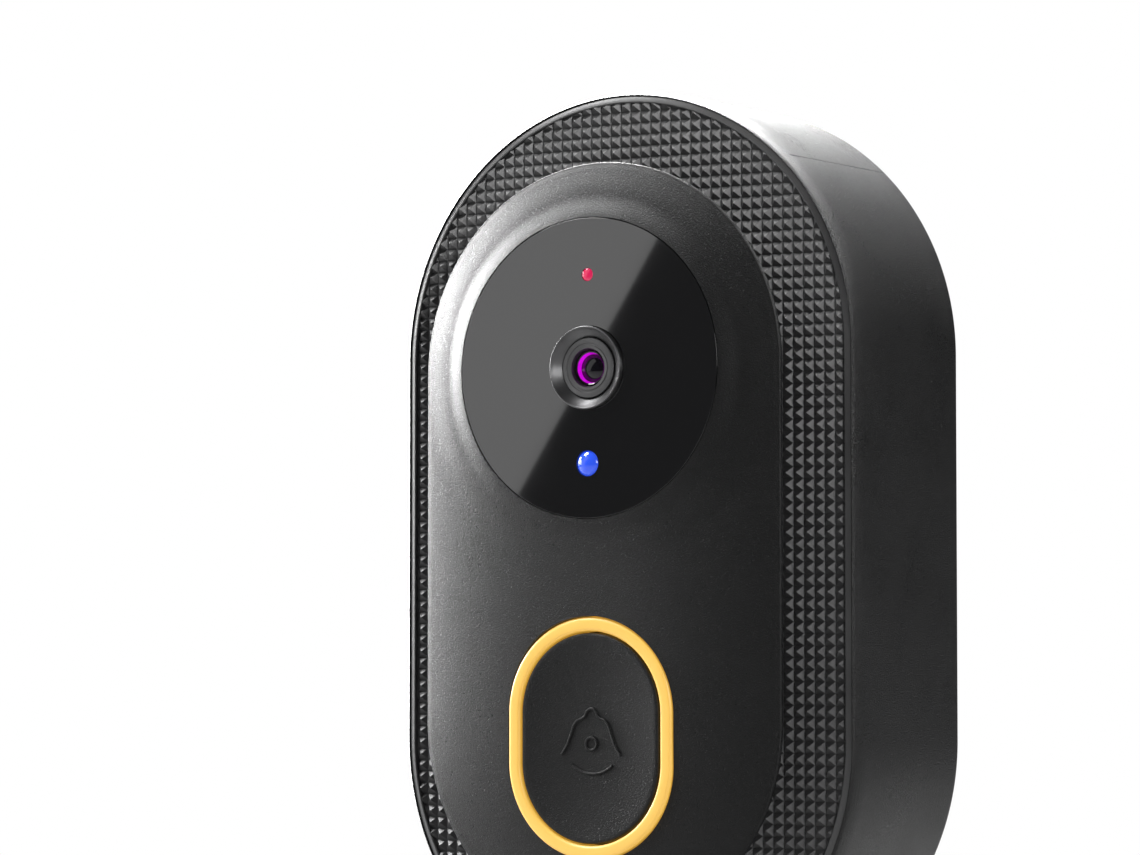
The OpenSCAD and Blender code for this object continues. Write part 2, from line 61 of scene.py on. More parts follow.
def low(node, axis):
    """The node's lowest coordinate along axis 0, 1 or 2, in millimetres."""
    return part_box(node)[0][axis] / MM


def high(node, axis):
    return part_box(node)[1][axis] / MM


def middle(node, axis):
    return (low(node, axis) + high(node, axis)) / 2


# Millimetres. _R is a radius or a half width, _C half the length of a stadium's spine, _D a depth out
# from the wall and _Z a height.
BODY_R = high("housing", 0)
BODY_C = high("housing", 2) - BODY_R
RIM_D = -low("housing", 1)
RIM_W = 0.7
BACK_D = -high("housing", 1)
PLATE_BASE = -high("texture_plate", 1)
TIP_D = -low("texture_plate", 1)
PANEL_R = high("front_panel", 0)
PANEL_C = high("front_panel", 2) - PANEL_R
WINDOW_R = high("camera_window", 0)
WINDOW_Z = high("camera_window", 2) - WINDOW_R
WINDOW_D = -low("camera_window", 1)
CROWN_D = -low("light_ring", 1)
RING_Z = middle("light_ring", 2)
RING_FLANGE = 1.0
RING_R = high("light_ring", 0) - RING_FLANGE
RING_C = high("light_ring", 2) - RING_Z - RING_R - RING_FLANGE
RING_BAND = 1.8
BUTTON_GAP = 0.2
BUTTON_R = RING_R - RING_BAND - BUTTON_GAP
BEZEL_R = high("lens_bezel", 0)
BARREL_R = high("lens_barrel", 0)
LIP_RISE = 5.8
LIP_D = TIP_D + LIP_RISE
FACE_D = TIP_D - 0.1
SEAT_D = WINDOW_D - 1.2
SKIN_D = CROWN_D - 2.65
STEM_R = 22.0
FIT_GAP = 0.13
COAT_OUT = 2.0
COAT_IN = 1.78


# ---------------------------------------------------------------- mesh helpers

def arc(cx, cy, r, a, b, n=8):
    """Points of an arc about (cx, cy) from angle a to b, in degrees."""
    steps = [radians(a + (b - a) * i / n) for i in range(n + 1)]
    return [(cx + r * cos(t), cy + r * sin(t)) for t in steps]


def new_object(name, data):
    """An object for a mesh, curve, light or camera, linked to the scene."""
    obj = bpy.data.objects.new(name, data)
    bpy.context.scene.collection.objects.link(obj)
    return obj


def make_object(name, verts, faces, sharp=32):
    """A mesh object from points in millimetres, smooth but for edges sharper than the angle."""
    mesh = bpy.data.meshes.new(name)
    mesh.from_pydata([(x * MM, y * MM, z * MM) for x, y, z in verts], [], faces)
    obj = new_object(name, mesh)
    clean(obj, sharp)
    return obj


def clean(obj, sharp=32):
    """Merges doubled points, points the faces outwards and sets the smooth shading."""
    weld = 0.0001 * MM
    bm = bmesh.new()
    bm.from_mesh(obj.data)
    bmesh.ops.remove_doubles(bm, verts=bm.verts, dist=weld)
    bmesh.ops.dissolve_degenerate(bm, edges=bm.edges, dist=weld)
    bmesh.ops.recalc_face_normals(bm, faces=bm.faces)
    bm.to_mesh(obj.data)
    bm.free()
    obj.data.shade_smooth()
    obj.data.set_sharp_from_angle(angle=radians(sharp))


def spine(c, arc_steps, side_steps):
    """Base points on a spine of half length c, and outward directions, once round the stadium."""
    out = []
    for end, start in ((1, 0), (-1, pi)):
        for i in range(arc_steps + 1):
            t = start + pi * i / arc_steps
            out.append(((0.0, end * c), (cos(t), sin(t))))
        for i in range(1, side_steps):
            out.append(((0.0, end * c * (1 - 2 * i / side_steps)), (-end, 0.0)))
    return out


def sweep(name, profile, c=0.0, z=0.0, closed=True, arc_steps=120, side_steps=2, sharp=32, height=None):
    """Sweeps a profile of (distance from the spine, depth) round a stadium, or a circle where c is 0.
    height, if given, works out each point's depth from its place."""
    base = spine(c, arc_steps, side_steps if c > 0 else 1)
    count = len(base)
    verts = []
    for r, d in profile:
        for (sx, sz), (dx, dz) in base:
            x, zz = sx + r * dx, sz + r * dz
            verts.append((x, -(height(x, zz + z, r, d) if height else d), zz + z))
    rows = len(profile)
    faces = []
    for i in range(rows if closed else rows - 1):
        j = (i + 1) % rows
        for k in range(count):
            n = (k + 1) % count
            faces.append((i * count + k, i * count + n, j * count + n, j * count + k))
    return make_object(name, verts, faces, sharp)


def lathe(name, profile, z, steps, **options):
    """Turns a profile about the axis at height z."""
    return sweep(name, profile, 0.0, z, arc_steps=steps, **options)


def block(name, x0, x1, d0, d1, z0, z1):
    """A box between two places across, two depths and two heights."""
    verts = [(x, -d, z) for x in (x0, x1) for d in (d0, d1) for z in (z0, z1)]
    faces = [(0, 1, 3, 2), (4, 6, 7, 5), (0, 4, 5, 1), (2, 3, 7, 6), (0, 2, 6, 4), (1, 5, 7, 3)]
    return make_object(name, verts, faces)


def slab(name, r, c, d0, d1, z=0.0, arc_steps=120):
    """A solid stadium, or a cylinder where c is 0, between two depths."""
    return sweep(name, [(0, d0), (r, d0), (r, d1), (0, d1)], c, z, arc_steps=arc_steps, closed=False)


def boolean(obj, other, operation="DIFFERENCE", sharp=32):
    """Cuts obj with another object, or keeps what they share. The other is then removed."""
    modifier = obj.modifiers.new("cut", "BOOLEAN")
    modifier.operation = operation
    modifier.solver = "MANIFOLD"
    modifier.object = other
    apply_modifiers(obj, sharp)
    bpy.data.objects.remove(other)


def apply_modifiers(obj, sharp=32):
    """Replaces the mesh by its modified form."""
    bpy.context.view_layer.update()
    graph = bpy.context.evaluated_depsgraph_get()
    mesh = bpy.data.meshes.new_from_object(obj.evaluated_get(graph))
    obj.modifiers.clear()
    obj.data = mesh
    clean(obj, sharp)


def join(name, parts):
    """Joins objects into one, which takes the name."""
    verts, faces = [], []
    for part in parts:
        start = len(verts)
        verts += [tuple(part.matrix_world @ v.co / MM) for v in part.data.vertices]
        faces += [tuple(start + i for i in p.vertices) for p in part.data.polygons]
        bpy.data.objects.remove(part)
    return make_object(name, verts, faces)


def place(obj, body, node, material):
    """Puts a finished piece on its body, in place of its CAD node."""
    obj.data.materials.clear()
    obj.data.materials.append(material)
    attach(obj, body)
    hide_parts(node)


# ---------------------------------------------------------------- materials

def shader(name):
    """A new material, its node tree and its main shader."""
    material = bpy.data.materials.new(name)
    material.use_nodes = True
    tree = material.node_tree
    return material, tree, tree.nodes["Principled BSDF"]


def add(tree, kind, **values):
    """A new node, with its sockets set by name and its settings by attribute."""
    node = tree.nodes.new(kind)
    for key, value in values.items():
        if key in node.inputs:
            node.inputs[key].default_value = value
        else:
            setattr(node, key, value)
    return node


def feed(tree, socket, value):
    """Links a socket to another, or sets its constant."""
    if isinstance(value, bpy.types.NodeSocket):
        tree.links.new(value, socket)
    else:
        socket.default_value = value


def calculate(tree, operation, *terms):
    """The result of a maths node. Each term is a socket or a number."""
    node = add(tree, "ShaderNodeMath", operation=operation)
    for socket, term in zip(node.inputs, terms):
        feed(tree, socket, term)
    return node.outputs["Value"]


def noise(tree, coords, scale, detail=2.0, roughness=0.5):
    node = add(tree, "ShaderNodeTexNoise", Scale=scale, Detail=detail, Roughness=roughness)
    tree.links.new(coords, node.inputs["Vector"])
    return node.outputs["Fac"]


def ramp(tree, value, low_in, low_out, high_in, high_out):
    """Maps low_in to low_out and high_in to high_out, and holds those values beyond."""
    node = add(tree, "ShaderNodeMapRange")
    node.inputs["From Min"].default_value = low_in
    node.inputs["From Max"].default_value = high_in
    node.inputs["To Min"].default_value = low_out
    node.inputs["To Max"].default_value = high_out
    tree.links.new(value, node.inputs["Value"])
    return node.outputs["Result"]


MIX_FACTOR, MIX_A, MIX_B = 0, 6, 7
MIX_COLOR = 2


def opaque(color):
    return (*color, 1) if isinstance(color, tuple) else color


def tint(tree, factor, first, second):
    """Mixes two colours by the factor. Each is a socket or red, green and blue."""
    node = add(tree, "ShaderNodeMix", data_type="RGBA")
    feed(tree, node.inputs[MIX_FACTOR], factor)
    feed(tree, node.inputs[MIX_A], opaque(first))
    feed(tree, node.inputs[MIX_B], opaque(second))
    return node.outputs[MIX_COLOR]


def bump(tree, heights, bsdf):
    """Chains bumps, each given as (height, strength, distance in metres)."""
    normal = None
    for height, strength, distance in heights:
        node = add(tree, "ShaderNodeBump", Strength=strength, Distance=distance)
        tree.links.new(height, node.inputs["Height"])
        if normal:
            tree.links.new(normal, node.inputs["Normal"])
        normal = node.outputs["Normal"]
    tree.links.new(normal, bsdf.inputs["Normal"])


def plastic(name, color, rough, grain=0.12, grain_mm=0.22, vary=0.25, specular=0.5, coat=0.0,
            coat_rough=0.1, wave=0.0, sheen=0.0, glow=None, glow_strength=0.0, spread=0.06, speck=0.0):
    """Moulded plastic, rubber, foam or paper: a fine grain, faint blotches and uneven gloss. grain is the
    bumps' strength and grain_mm their size, spread and speck are how far blotches and grain change the
    roughness, and wave is the strength of slow dents."""
    material, tree, bsdf = shader(name)
    coords = add(tree, "ShaderNodeTexCoord").outputs["Object"]
    fine = noise(tree, coords, 1 / (grain_mm * MM), 3.0, 0.6)
    blotch = noise(tree, coords, 90.0, 3.0, 0.55)
    dust = noise(tree, coords, 1 / (grain_mm * 0.35 * MM), 1.0)
    dark = tuple(c * (1 - vary) for c in color)
    light = tuple(min(1.0, c * (1 + vary)) for c in color)
    fine_share = 0.6
    coarse = ramp(tree, blotch, 0.3, 0.0, 0.7, 1 - fine_share)
    mixed = calculate(tree, "MULTIPLY_ADD", fine, fine_share, coarse)
    tree.links.new(tint(tree, mixed, dark, light), bsdf.inputs["Base Color"])
    even = rough - speck / 2
    gloss = ramp(tree, blotch, 0.25, even - spread, 0.75, even + spread)
    tree.links.new(calculate(tree, "MULTIPLY_ADD", fine, speck, gloss), bsdf.inputs["Roughness"])
    heights = [(fine, grain, grain_mm * 0.5 * MM), (dust, grain * 0.5, grain_mm * 0.2 * MM)]
    if wave:
        heights.append((noise(tree, coords, 60.0, 1.0), wave, 0.4 * MM))
    bump(tree, heights, bsdf)
    bsdf.inputs["Specular IOR Level"].default_value = specular
    bsdf.inputs["Coat Weight"].default_value = coat
    bsdf.inputs["Coat Roughness"].default_value = coat_rough
    bsdf.inputs["Sheen Weight"].default_value = sheen
    if glow:
        bsdf.inputs["Emission Color"].default_value = (*glow, 1)
        bsdf.inputs["Emission Strength"].default_value = glow_strength
    return material


def metal(name, color, rough, brushed_axis=None):
    """Machined or plated metal, with a fine grain or brushing lines and a little tarnish."""
    grain_mm, stretch = 0.05, 0.04
    material, tree, bsdf = shader(name)
    coords = add(tree, "ShaderNodeTexCoord").outputs["Object"]
    stretched = coords
    if brushed_axis is not None:
        scale = [1.0, 1.0, 1.0]
        scale[brushed_axis] = stretch
        mapping = add(tree, "ShaderNodeMapping")
        mapping.inputs["Scale"].default_value = scale
        tree.links.new(coords, mapping.inputs["Vector"])
        stretched = mapping.outputs["Vector"]
    lines = noise(tree, stretched, 1 / (grain_mm * MM), 3.0)
    stain = noise(tree, coords, 220.0, 3.0, 0.6)
    dark = tuple(c * 0.72 for c in color)
    tree.links.new(tint(tree, ramp(tree, stain, 0.3, 0.0, 0.7, 1.0), dark, color), bsdf.inputs["Base Color"])
    tree.links.new(ramp(tree, lines, 0.3, rough * 0.7, 0.7, rough * 1.3), bsdf.inputs["Roughness"])
    bump(tree, [(lines, 0.12, grain_mm * 0.3 * MM)], bsdf)
    bsdf.inputs["Metallic"].default_value = 1.0
    return material


def board_material(name):
    """Solder mask in a brick-like pattern of tracks, with round gold pads."""
    material, tree, bsdf = shader(name)
    coords = add(tree, "ShaderNodeTexCoord").outputs["Object"]
    cells = add(tree, "ShaderNodeTexBrick", Scale=420.0)
    cells.inputs["Color1"].default_value = (0.012, 0.085, 0.036, 1)
    cells.inputs["Color2"].default_value = (0.016, 0.11, 0.046, 1)
    cells.inputs["Mortar"].default_value = (0.03, 0.17, 0.075, 1)
    cells.inputs["Mortar Size"].default_value = 0.03
    mapping = add(tree, "ShaderNodeMapping")
    mapping.inputs["Rotation"].default_value = (pi / 2, 0, 0)
    tree.links.new(coords, mapping.inputs["Vector"])
    tree.links.new(mapping.outputs["Vector"], cells.inputs["Vector"])
    dots = add(tree, "ShaderNodeTexVoronoi", Scale=520.0)
    tree.links.new(coords, dots.inputs["Vector"])
    pads = ramp(tree, dots.outputs["Distance"], 0.16, 1.0, 0.2, 0.0)
    face = tint(tree, pads, cells.outputs["Color"], (0.62, 0.52, 0.3))
    tree.links.new(face, bsdf.inputs["Base Color"])
    tree.links.new(ramp(tree, noise(tree, coords, 3000.0), 0.3, 0.25, 0.7, 0.42), bsdf.inputs["Roughness"])
    bump(tree, [(cells.outputs["Fac"], 0.4, 0.04 * MM)], bsdf)
    return material


def glass(name, color, rough, specular, edge_tint, coat_ior=1.5):
    """Dark optics: an opaque glossy body, tinted where it is seen at a slant, under a clear coat."""
    material, tree, bsdf = shader(name)
    coords = add(tree, "ShaderNodeTexCoord").outputs["Object"]
    smear = noise(tree, coords, 140.0, 4.0, 0.6)
    facing = add(tree, "ShaderNodeLayerWeight", Blend=0.35)
    tree.links.new(tint(tree, facing.outputs["Facing"], color, edge_tint), bsdf.inputs["Base Color"])
    tree.links.new(ramp(tree, smear, 0.3, rough, 0.75, rough * 1.8), bsdf.inputs["Roughness"])
    bump(tree, [(noise(tree, coords, 70.0, 1.0), 0.02, 0.2 * MM)], bsdf)
    bsdf.inputs["Specular IOR Level"].default_value = specular
    bsdf.inputs["Coat Weight"].default_value = 1.0
    bsdf.inputs["Coat IOR"].default_value = coat_ior
    bsdf.inputs["Coat Roughness"].default_value = 0.02
    return material


def lens_coating_and_painted_reflection():
    """Lens glass with a magenta antireflection band on the cone round its pupil. The band also glows magenta,
    as a painted reflection of the coating.
    """
    dark = (0.006, 0.005, 0.008)
    material = glass("lens_glass", dark, 0.05, 0.2, (0.02, 0.01, 0.04))
    tree = material.node_tree
    bsdf = tree.nodes["Principled BSDF"]
    coords = add(tree, "ShaderNodeTexCoord").outputs["Object"]
    offset = add(tree, "ShaderNodeMapping")
    offset.inputs["Location"].default_value = (0, 0, -WINDOW_Z * MM)
    offset.inputs["Scale"].default_value = (1, 0, 1)
    tree.links.new(coords, offset.inputs["Vector"])
    reach = add(tree, "ShaderNodeVectorMath", operation="LENGTH")
    tree.links.new(offset.outputs["Vector"], reach.inputs[0])
    span = 0.03 * MM
    inside = ramp(tree, reach.outputs["Value"], COAT_IN * MM, 0.0, COAT_IN * MM + span, 1.0)
    outside = ramp(tree, reach.outputs["Value"], COAT_OUT * MM - span, 1.0, COAT_OUT * MM, 0.0)
    band = calculate(tree, "MULTIPLY", inside, outside)
    grain = ramp(tree, noise(tree, coords, 1800.0, 3.0), 0.2, 0.8, 0.8, 1.1)
    tree.links.new(tint(tree, band, dark, (0.42, 0.01, 0.5)), bsdf.inputs["Base Color"])
    # The band's emission is a painted reflection: the coating's magenta reflection, mottled by noise, is made
    # to glow.
    tree.links.new(calculate(tree, "MULTIPLY", band, grain), bsdf.inputs["Emission Strength"])
    bsdf.inputs["Emission Color"].default_value = (0.55, 0.0, 0.62, 1)
    return material


FACE_COLOR = (0.006, 0.006, 0.0062)
FACE_GRAIN = {"grain": 0.9, "grain_mm": 0.2, "vary": 0.3, "speck": 0.5, "spread": 0.02, "specular": 0.4}
LED_LOOK = {"grain": 0.02, "glow_strength": 0.5, "coat": 1.0, "coat_rough": 0.03}
# Each is its name, colour and roughness, and what differs from the function's plain look.
MATERIALS = {
    "housing_plastic": plastic("housing_plastic", (0.004, 0.004, 0.0041), 0.34, grain=1.1, grain_mm=0.2,
                               vary=0.3, speck=0.5),
    "texture_plastic": plastic("texture_plastic", (0.07, 0.07, 0.071), 0.34, grain=0.15, grain_mm=0.12,
                               vary=0.2, specular=1.0),
    "panel_plastic": plastic("panel_plastic", FACE_COLOR, 0.34, **FACE_GRAIN),
    "window_glass": glass("window_glass", (0.004, 0.004, 0.0045), 0.03, 0.5, (0.006, 0.006, 0.007), 2.2),
    "lens_glass": lens_coating_and_painted_reflection(),
    "bezel_metal": metal("bezel_metal", (0.2, 0.2, 0.203), 0.38),
    "barrel_metal": metal("barrel_metal", (0.24, 0.24, 0.243), 0.45),
    "light_guide": plastic("light_guide", (0.95, 0.65, 0.17), 0.36, grain=0.04, grain_mm=0.15, vary=0.06,
                           glow=(1.0, 0.5, 0.04), glow_strength=0.45, coat=0.9, coat_rough=0.4),
    "button_plastic": plastic("button_plastic", FACE_COLOR, 0.34, **FACE_GRAIN),
    "red_led": plastic("red_led", (0.5, 0.015, 0.07), 0.16, vary=0.1, glow=(0.9, 0.02, 0.13), **LED_LOOK),
    "blue_led": plastic("blue_led", (0.03, 0.1, 0.8), 0.12, vary=0.12, glow=(0.03, 0.1, 0.95), **LED_LOOK),
    "bracket_plastic": plastic("bracket_plastic", (0.045, 0.045, 0.048), 0.5, grain=0.3, grain_mm=0.3),
    "cover_plastic": plastic("cover_plastic", (0.03, 0.03, 0.031), 0.5, grain=0.35, grain_mm=0.28),
    "holder_plastic": plastic("holder_plastic", (0.02, 0.02, 0.021), 0.4, grain=0.2),
    "frame_plastic": plastic("frame_plastic", (0.6, 0.6, 0.57), 0.42, grain=0.2, vary=0.08),
    "switch_plastic": plastic("switch_plastic", (0.5, 0.47, 0.4), 0.4, grain=0.2, vary=0.1),
    "chip_plastic": plastic("chip_plastic", (0.016, 0.016, 0.017), 0.5, grain=0.4, grain_mm=0.1),
    "silicone": plastic("silicone", (0.03, 0.03, 0.031), 0.56, grain=0.25, grain_mm=0.25, sheen=0.1),
    "foam": plastic("foam", (0.07, 0.07, 0.075), 0.85, grain=0.9, grain_mm=0.5, vary=0.4, sheen=0.2),
    "black_tape": plastic("black_tape", (0.012, 0.012, 0.012), 0.6, grain=0.2),
    "speaker_paper": plastic("speaker_paper", (0.06, 0.06, 0.065), 0.7, grain=0.6, grain_mm=0.3, vary=0.35),
    "wire_insulation": plastic("wire_insulation", (0.014, 0.014, 0.014), 0.4, grain=0.1),
    "red_wire": plastic("red_wire", (0.45, 0.015, 0.015), 0.38, grain=0.1, vary=0.12),
    "flex_film": plastic("flex_film", (0.5, 0.2, 0.03), 0.28, grain=0.08, vary=0.2, coat=0.4),
    "battery_wrap": plastic("battery_wrap", (0.04, 0.13, 0.34), 0.3, grain=0.08, vary=0.12, coat=0.3,
                            wave=0.3),
    "led_package": plastic("led_package", (0.82, 0.78, 0.62), 0.35, grain=0.1, vary=0.08),
    "sensor": plastic("sensor", (0.03, 0.045, 0.09), 0.12, grain=0.1, grain_mm=0.1, coat=0.8,
                      coat_rough=0.02),
    "steel": metal("steel", (0.6, 0.6, 0.6), 0.32, brushed_axis=2),
    "mic_metal": metal("mic_metal", (0.72, 0.58, 0.32), 0.3),
    "circuit_board": board_material("circuit_board"),
}


# ---------------------------------------------------------------- the visible pieces

def housing_piece():
    """The shell: side wall, rounded rim, rear lip, cover ledge and the wall behind the texture."""
    inner = BODY_R - 2.2
    rim_inner = BODY_R - RIM_W
    front_wall = PLATE_BASE - 1.8
    opening_r = 12.0
    rim_drop = 3.5
    corner_r, rear_r, lip_r = 0.12, 1.6, 0.25
    ledge, ledge_back, ledge_front = 1.5, 6.1, 7.5
    profile = [(opening_r, front_wall), (opening_r, PLATE_BASE), (rim_inner, PLATE_BASE),
               (rim_inner, RIM_D - 0.32)]
    profile += arc(rim_inner + corner_r, RIM_D - 0.3, corner_r, 180, 100, 4)
    profile += [(rim_inner + RIM_W * x, RIM_D - rim_drop + rim_drop * y) for x, y in arc(0, 0, 1, 60, 0, 16)]
    profile += arc(BODY_R - rear_r, BACK_D + rear_r, rear_r, 0, -84, 10)
    profile += arc(inner + lip_r, BACK_D + lip_r, lip_r, 260, 180, 4)
    profile += [(inner, ledge_back), (inner - ledge, ledge_back), (inner - ledge, ledge_front),
                (inner, ledge_front), (inner, front_wall)]
    return sweep("housing_shell", profile, BODY_C, arc_steps=200, side_steps=8)


def flap_cutter():
    """The seat of the charging flap, as a curved block that follows the body's round end."""
    gap, thickness, seat_back = 0.2, 1.1, 7.3
    seat_front = -low("usb_flap", 1) + gap
    floor_r = BODY_R - thickness - gap
    profile = [(floor_r, seat_back), (BODY_R + 1, seat_back), (BODY_R + 1, seat_front), (floor_r, seat_front)]
    cutter = sweep("flap_seat", profile, BODY_C, arc_steps=200, side_steps=8)
    half = high("usb_flap", 0) + gap
    boolean(cutter, block("flap_span", -half, half, 0, 40, -90, -BODY_C - 20), "INTERSECT")
    return cutter


def seam_cutter(sign):
    """A hairline parting line across the side wall, on the body's upper shoulder."""
    angle = radians(46)
    half_width, cut_depth = 0.06, 0.08
    cutter = block("seam_line", BODY_R - cut_depth, BODY_R + 1, 1.6, RIM_D - 1.0, -half_width, half_width)
    for vertex in cutter.data.vertices:
        x, y, z = vertex.co
        across = x * cos(angle) - z * sin(angle)
        vertex.co = (sign * across, y, BODY_C * MM + x * sin(angle) + z * cos(angle))
    clean(cutter)
    return cutter


def port_cutter():
    """The opening for the charging socket, through the bottom edge."""
    side_gap, depth_gap = 0.2, 0.25
    bottom = -BODY_C - BODY_R
    back, front = -high("usb_socket", 1) - depth_gap, -low("usb_socket", 1) + depth_gap
    return block("port_hole", low("usb_socket", 0) - side_gap, high("usb_socket", 0) + side_gap, back, front,
                 bottom - 1, bottom + 4)


PITCH = 1.5
PYRAMID_RISE = 0.72
GRID_COLUMNS, GRID_ROWS = 45, 79
HALF_COLUMNS, HALF_ROWS = GRID_COLUMNS // 2, GRID_ROWS // 2
# The five sound holes and the microphone hole, as cells counted from the middle of the grid.
HOLE_CELLS = {(x, -32) for x in (-4, -2, 0, 2, 4)} | {(10, -27)}


def skirt(top, bottom):
    """Faces that join two loops of as many points."""
    count = len(top)
    return [(top[k], top[(k + 1) % count], bottom[(k + 1) % count], bottom[k]) for k in range(count)]


def pyramid_grid():
    """A closed plate whose front is a grid of square pyramids, with square holes."""
    base_d = TIP_D - PYRAMID_RISE
    floor_d = PLATE_BASE + 0.12
    xs = [(i - HALF_COLUMNS - 0.5) * PITCH for i in range(GRID_COLUMNS + 1)]
    zs = [(j - HALF_ROWS - 0.5) * PITCH for j in range(GRID_ROWS + 1)]
    width = len(xs)
    verts = [(x, -base_d, z) for z in zs for x in xs]
    faces = []
    for j in range(GRID_ROWS):
        for i in range(GRID_COLUMNS):
            first = j * width + i
            corners = [first, first + 1, first + width + 1, first + width]
            if (i - HALF_COLUMNS, j - HALF_ROWS) in HOLE_CELLS:
                floor = range(len(verts), len(verts) + 4)
                verts += [(verts[k][0], -floor_d, verts[k][2]) for k in corners]
                faces += skirt(corners, floor)
                faces.append(tuple(floor))
            else:
                tip = len(verts)
                verts.append(((xs[i] + xs[i + 1]) / 2, -TIP_D, (zs[j] + zs[j + 1]) / 2))
                faces += [(corners[k], corners[(k + 1) % 4], tip) for k in range(4)]
    edge = list(range(width)) + [j * width + GRID_COLUMNS for j in range(1, GRID_ROWS + 1)]
    edge += [GRID_ROWS * width + i for i in range(GRID_COLUMNS - 1, -1, -1)]
    edge += [j * width for j in range(GRID_ROWS - 1, 0, -1)]
    back = range(len(verts), len(verts) + len(edge))
    verts += [(verts[k][0], -PLATE_BASE, verts[k][2]) for k in edge]
    faces += skirt(edge, back)
    faces.append(tuple(back))
    return make_object("pyramid_texture", verts, faces, sharp=20)


def texture_piece():
    """The pyramids, cut off by the rim and open round the panel's stem, with a rounded crest round them."""
    border, clearance, lift, sharp = 0.85, 0.05, 0.01, 20
    outer = BODY_R - RIM_W - clearance
    back_d = PLATE_BASE + lift
    stem = STEM_R + 0.06
    plate = pyramid_grid()
    area = [(stem, back_d), (outer - border, back_d), (outer - border, TIP_D + 1), (stem, TIP_D + 1)]
    boolean(plate, sweep("texture_area", area, BODY_C, arc_steps=200, side_steps=2), "INTERSECT", sharp)
    boolean(plate, slab("stem_area", stem, PANEL_C, PLATE_BASE - 1, TIP_D + 2), "DIFFERENCE", sharp)
    crest = [(outer - border, back_d), (outer, back_d), (outer, TIP_D - 0.27)]
    crest += [(outer - border + 0.4, TIP_D - 0.07), (outer - border + 0.12, TIP_D),
              (outer - border, TIP_D - 0.08)]
    border_ring = sweep("texture_border", crest, BODY_C, arc_steps=200, side_steps=8)
    whole = join("pyramid_texture", [plate, border_ring])
    whole.data.set_sharp_from_angle(angle=radians(sharp))
    return whole


CROWN_RISE = CROWN_D - LIP_D
CROWN_POWER = 3
HUMP_D = WINDOW_D + 0.03
COLLAR, COLLAR_IN, COLLAR_OUT = 0.806, WINDOW_R - 0.6, WINDOW_R + 3.1
SKIRT, SKIRT_IN = 0.26, WINDOW_R + 2.35


def smooth_step(a, b, x):
    """0 up to a, 1 from b on, and a smooth curve between."""
    t = min(1.0, max(0.0, (x - a) / (b - a)))
    return t * t * (3 - 2 * t)


def panel_height(x, z, r, d):
    """Depth of the panel's front: a crown across the spine, with a hump that slopes away from the window's
    edge as a steep collar and a wide, low skirt."""
    if r > PANEL_R - 0.3 or d < LIP_D - 0.01:
        return d
    crown = CROWN_D - CROWN_RISE * (r / PANEL_R) ** CROWN_POWER
    away = hypot(x, z - WINDOW_Z)
    collar = COLLAR * (1 - smooth_step(COLLAR_IN, COLLAR_OUT, away))
    skirt_part = SKIRT * (1 - smooth_step(SKIRT_IN, PANEL_R, away))
    return crown + (HUMP_D - crown) * (collar + skirt_part)


def panel_piece():
    """The floating panel: crowned front, rounded lip, undercut stem, and the window's and ring's openings."""
    lip_t, edge_r, root_r, flange, row, sharp = 0.6, 0.28, 0.4, 2, 0.4, 28
    lip_back, stem_back = LIP_D - lip_t, PLATE_BASE + 0.05
    front, back = CROWN_D + 3, SKIN_D - 1
    profile = [(row * i, LIP_D) for i in range(70) if row * i < PANEL_R - 0.35]
    profile += [(PANEL_R - edge_r + edge_r * sin(radians(a)), LIP_D - edge_r + edge_r * cos(radians(a)))
                for a in range(0, 91, 15)]
    profile += [(PANEL_R, lip_back), (STEM_R + root_r, lip_back)]
    profile += arc(STEM_R + root_r, lip_back - root_r, root_r, 90, 180, 4)
    profile += [(STEM_R, stem_back), (STEM_R - flange, stem_back), (STEM_R - flange, SKIN_D), (0, SKIN_D)]
    panel = sweep("floating_panel", profile, PANEL_C, closed=False, arc_steps=400, side_steps=120,
                  height=panel_height, sharp=sharp)
    boolean(panel, slab("window_seat", WINDOW_R + FIT_GAP, 0.0, SEAT_D, front, WINDOW_Z, 180), sharp=sharp)
    boolean(panel, slab("window_hole", WINDOW_R - 2.2, 0.0, back, front, WINDOW_Z, 120), sharp=sharp)
    boolean(panel, slab("ring_hole", RING_R + FIT_GAP, RING_C, back, front, RING_Z), sharp=sharp)
    return panel


def window_piece():
    """The glossy disc, with holes for the bezel and the two lights. Its rings close to each edge keep the
    flat face's reflection even."""
    edge, back = 0.04, WINDOW_D - 1.05
    hole_r = BEZEL_R + 0.05
    rings = (WINDOW_R - 0.06, WINDOW_R - 0.1, 0.7 * WINDOW_R, hole_r + 0.12, hole_r + 0.08, hole_r + 0.05)
    profile = [(hole_r, back), (WINDOW_R, back)] + arc(WINDOW_R - edge, WINDOW_D - edge, edge, 0, 90, 5)
    profile += [(r, WINDOW_D) for r in rings] + [(hole_r, WINDOW_D - 0.05)]
    window = lathe("window_disc", profile, WINDOW_Z, 180)
    for node, r in (("status_led", 0.85), ("indicator_dome", 1.65)):
        boolean(window, slab(node + "_hole", r, 0.0, back - 1, WINDOW_D + 1, middle(node, 2), 48))
    return window


def bezel_piece():
    """The metal funnel: a rounded brim, and a cone that runs down to the barrel in a slight curve."""
    inner = BARREL_R + 0.06
    top, base = WINDOW_D + 0.72, WINDOW_D - 1.85
    brim_r, cone_drop = 0.12, 1.1
    cone_r = BEZEL_R - 0.2
    profile = [(inner, base), (BEZEL_R, base)] + arc(BEZEL_R - brim_r, top - brim_r, brim_r, 0, 125, 7)
    profile += [(cone_r - (cone_r - inner) * t, top - 0.05 - cone_drop * t ** 0.9)
                for t in (0.05, 0.3, 0.6, 0.85, 1.0)]
    return lathe("lens_funnel", profile, WINDOW_Z, 160, sharp=40)


